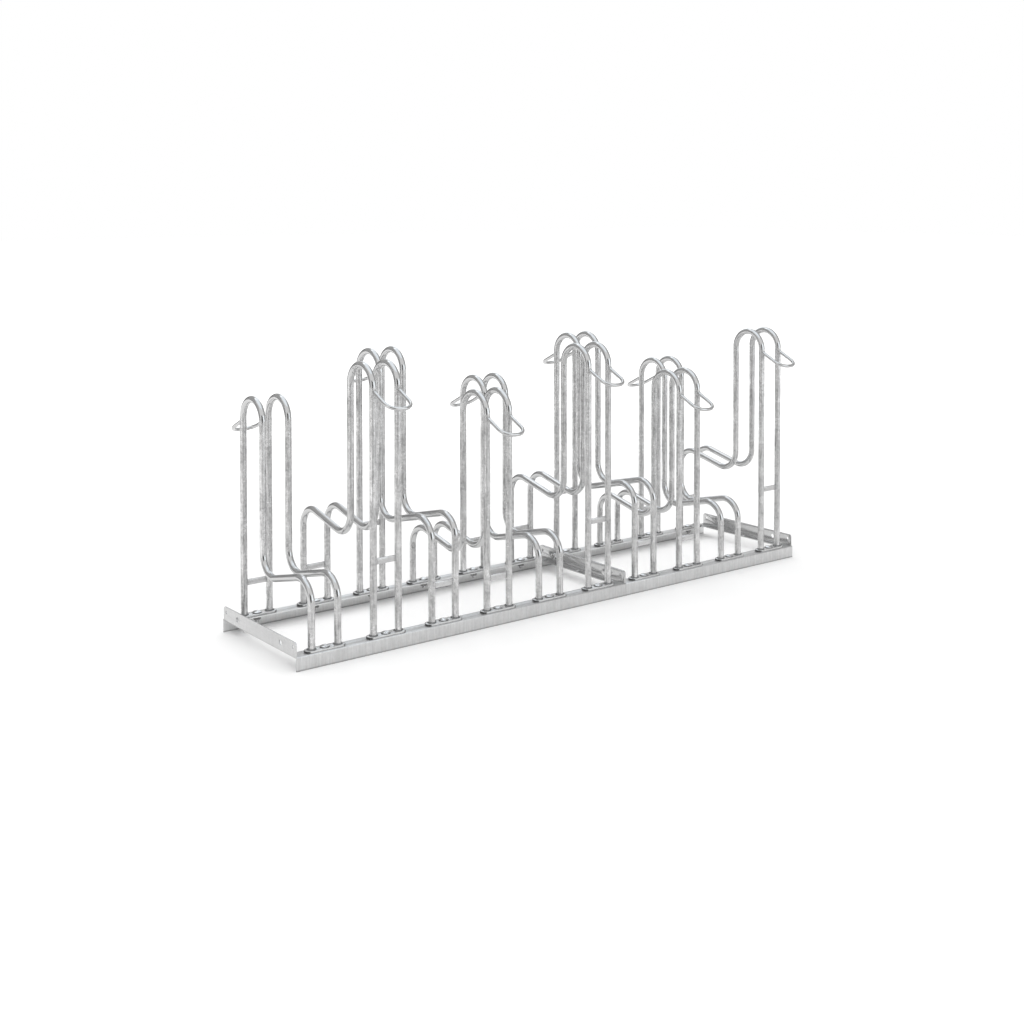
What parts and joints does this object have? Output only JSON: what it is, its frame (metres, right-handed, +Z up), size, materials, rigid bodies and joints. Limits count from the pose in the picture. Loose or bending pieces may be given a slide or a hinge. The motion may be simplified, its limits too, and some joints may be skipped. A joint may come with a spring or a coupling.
{
  "type": "floor bike rack",
  "caption": "Two-sided floor rack that holds bicycles by the front wheel between pairs of bent tube hoops at two heights, with lock eyes.",
  "frame": {"origin": "on the floor, under the middle of the rack's box", "axes": "+X along the rack to the right, +Y from the front side to the back side, +Z up"},
  "size_m": [1.7496, 0.521, 0.718],
  "materials": {
    "hoop_tube": "hot-dip galvanised tube, shinier on the bends",
    "eye_rod": "hot-dip galvanised round bar",
    "flat_steel": "hot-dip galvanised flat bar",
    "rail_steel": "matte galvanised angle with faint streaks",
    "fastener_steel": "bright zinc-plated"
  },
  "bodies": {
    "root": {"hoop_01_left": "hoop_tube", "hoop_01_right": "hoop_tube", "hoop_02_left": "hoop_tube", "hoop_02_right": "hoop_tube", "hoop_03_left": "hoop_tube", "hoop_03_right": "hoop_tube", "hoop_04_left": "hoop_tube", "hoop_04_right": "hoop_tube", "hoop_05_left": "hoop_tube", "hoop_05_right": "hoop_tube", "hoop_06_left": "hoop_tube", "hoop_06_right": "hoop_tube", "hoop_07_left": "hoop_tube", "hoop_07_right": "hoop_tube", "hoop_08_left": "hoop_tube", "hoop_08_right": "hoop_tube", "hoop_09_left": "hoop_tube", "hoop_09_right": "hoop_tube", "hoop_10_left": "hoop_tube", "hoop_10_right": "hoop_tube", "lock_eye_01": "eye_rod", "lock_eye_02": "eye_rod", "lock_eye_03": "eye_rod", "lock_eye_04": "eye_rod", "lock_eye_05": "eye_rod", "lock_eye_06": "eye_rod", "lock_eye_07": "eye_rod", "lock_eye_08": "eye_rod", "lock_eye_09": "eye_rod", "lock_eye_10": "eye_rod", "tie_bar_01": "flat_steel", "tie_bar_02": "flat_steel", "tie_bar_03": "flat_steel", "tie_bar_04": "flat_steel", "tie_bar_05": "flat_steel", "tie_bar_06": "flat_steel", "tie_bar_07": "flat_steel", "tie_bar_08": "flat_steel", "tie_bar_09": "flat_steel", "tie_bar_10": "flat_steel", "short_leg_tie_bars": "flat_steel", "foot_plates_left_front": "flat_steel", "foot_plates_left_back": "flat_steel", "foot_plates_right_front": "flat_steel", "foot_plates_right_back": "flat_steel", "rail_left_front": "rail_steel", "rail_left_back": "rail_steel", "rail_right_front": "rail_steel", "rail_right_back": "rail_steel", "cross_rail_left_outer": "rail_steel", "cross_rail_left_seam": "rail_steel", "cross_rail_right_outer": "rail_steel", "cross_rail_right_seam": "rail_steel", "foot_bolts": "fastener_steel", "foot_washers": "fastener_steel", "foot_nuts": "fastener_steel", "joint_bolts": "fastener_steel", "joint_washers": "fastener_steel", "joint_nuts": "fastener_steel"}
  },
  "joints": []
}
